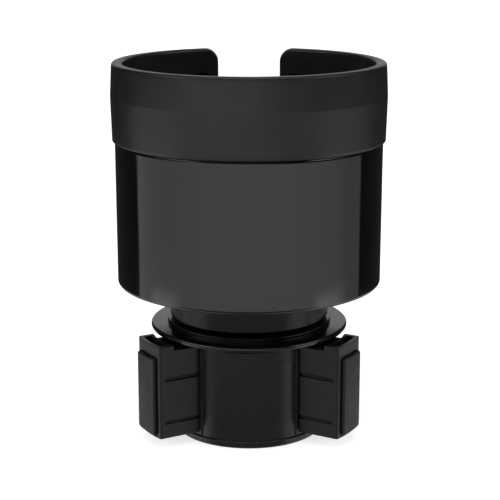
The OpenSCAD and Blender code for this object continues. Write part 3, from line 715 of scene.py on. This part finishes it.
# %% Finishes: the four satin plastics
def satin_plastic(slot, black, ior, polish, grain_scale, grain_depth, rounding=0.00025, streaks=0.0):
    tree, shader = new_finish(slot, IOR=ior)
    edge = use(tree, worn_edge, Rounding=rounding, Width=0.0007, Amount=0.8)
    settled = use(tree, dust, Specks=800.0, Amount=0.15)
    marks = use(tree, smudges, Scale=70.0, From=polish, To=polish + 0.07)
    pores = use(tree, grain, Scale=grain_scale, Wider=0.4)
    clean = blend(tree, edge.outputs["Mask"], (black, black, black * 1.06), (black + 0.02,) * 3)
    rougher = math_node(tree, "MULTIPLY", edge.outputs["Mask"], 0.1)
    rough = math_node(tree, "ADD", marks.outputs["Value"], rougher)
    if streaks:
        place = add(tree, "SeparateXYZ", {0: own_place(tree)})
        out = math_node(tree, "MULTIPLY", from_axis(tree, place), 0.08)
        level = add(tree, "CombineXYZ", {0: out, 2: place.outputs[2]}).outputs[0]
        rub = noise(tree, level, 2400, 3)
        rub = math_node(tree, "MULTIPLY", smooth_step(tree, rub, 0.5, 0.75), streaks)
        clean = blend(tree, rub, clean, (black * 2.2,) * 3)
        rough = math_node(tree, "ADD", rough, math_node(tree, "MULTIPLY", rub, -0.1))
    dusty = blend(tree, settled.outputs["Mask"], clean, DUST_GREY)
    skin = relief(tree, pores.outputs["Height"], grain_depth, edge.outputs["Normal"])
    plug(tree, shader, Base_Color=dusty, Roughness=rough, Normal=skin)
    print(slot, "ready, polish", polish)


satin_plastic("neck_black", 0.005, 1.3, 0.18, 2400.0, 0.000003)
satin_plastic("dial_black", 0.0055, 1.5, 0.12, 2400.0, 0.000003)
satin_plastic("base_black", 0.007, 1.38, 0.26, 3200.0, 0.000004, rounding=0.0001)
satin_plastic("wing_black", 0.011, 1.38, 0.32, 3200.0, 0.000008, streaks=0.7)

# %% [markdown]
# ## Rubber of the wing pads
#
# The pads are a lighter grey rubber with a coarser skin, so that they grip. They are pushed into
# and pulled out of cars, so their edges are rubbed paler and dust sits in the skin.

# %% Finish: pad_rubber
tree, shader = new_finish("pad_rubber", IOR=1.32)
edge = use(tree, worn_edge, Rounding=0.0002, Width=0.0007, Amount=0.7, Patches=260.0)
settled = use(tree, dust, Specks=1000.0, Amount=0.25)
cloud = noise(tree, own_place(tree), 110, 5, Roughness=0.65)
clouded = blend(tree, smooth_step(tree, cloud, 0.3, 0.7), (0.020, 0.020, 0.0215), (0.027, 0.027, 0.029))
rubbed = blend(tree, edge.outputs["Mask"], clouded, (0.05, 0.05, 0.052))
marks = use(tree, smudges, Scale=90.0, From=0.40, To=0.50)
pores = use(tree, grain, Scale=2200.0, Wider=0.8)
dusty = blend(tree, settled.outputs["Mask"], rubbed, (0.14, 0.138, 0.135))
skin = relief(tree, pores.outputs["Height"], 0.000016, edge.outputs["Normal"])
plug(tree, shader, Base_Color=dusty, Roughness=marks.outputs["Value"], Normal=skin)
print("pad_rubber ready")

# %% [markdown]
# ## Small parts inside: the slippery ring and the steel
#
# The ring under the neck is white slippery plastic, slightly waxy and marked in circles by the
# turning neck. Screws, washers and pins are zinc-plated steel: bright, but blotchy from the plating.

# %% Finish: slip_plastic
tree, shader = new_finish("slip_plastic", IOR=1.48)
edge = use(tree, worn_edge, Rounding=0.0001, Width=0.0004, Amount=0.5)
out = from_axis(tree, add(tree, "SeparateXYZ", {0: own_place(tree)}))
turning = noise(tree, add(tree, "CombineXYZ", {0: out}).outputs[0], 5000, 2)
marks = use(tree, smudges, Scale=120.0, From=0.30, To=0.45)
greased = use(tree, smudges, Scale=160.0, From=0.0, To=0.6)
waxy = blend(tree, greased.outputs["Value"], (0.78, 0.78, 0.75), (0.66, 0.65, 0.60))
skin = relief(tree, turning, 0.000006, edge.outputs["Normal"])
plug(tree, shader, Base_Color=waxy, Roughness=marks.outputs["Value"], Normal=skin)
print("slip_plastic ready")

# %% Finish: screw_steel
tree, shader = new_finish("screw_steel", Metallic=1.0)
edge = use(tree, worn_edge, Rounding=0.0001, Width=0.0003, Amount=0.8, Patches=600.0)
plating = add(tree, "TexVoronoi", {"Vector": own_place(tree), "Scale": 900}).outputs["Distance"]
marks = use(tree, smudges, Scale=400.0, From=0.28, To=0.46)
blotch = blend(tree, smooth_step(tree, plating, 0.2, 0.8), (0.56, 0.57, 0.60), (0.66, 0.66, 0.65))
bare = blend(tree, edge.outputs["Mask"], blotch, (0.72, 0.71, 0.69))
skin = relief(tree, plating, 0.000006, edge.outputs["Normal"])
plug(tree, shader, Base_Color=bare, Roughness=marks.outputs["Value"], Normal=skin)
print("screw_steel ready")

# %% [markdown]
# ## Dress the parts
#
# The record names one slot for every CAD node. The nodes keep their shapes and only their material
# slots are filled. The pieces that were built here take the same finishes.

# %% Give every part its finish
for part in frame["record"]["subparts"]:
    for material_slot in nodes[part["node"]].material_slots:
        material_slot.material = look[part["material_slot"]]
made_here = {sleeve: "sleeve_rubber", floor_pad: "sleeve_rubber", ring: "gloss_black"}
made_here.update({pad: "pad_rubber" for pad in pads})
for piece, slot in made_here.items():
    piece.data.materials.append(look[slot])
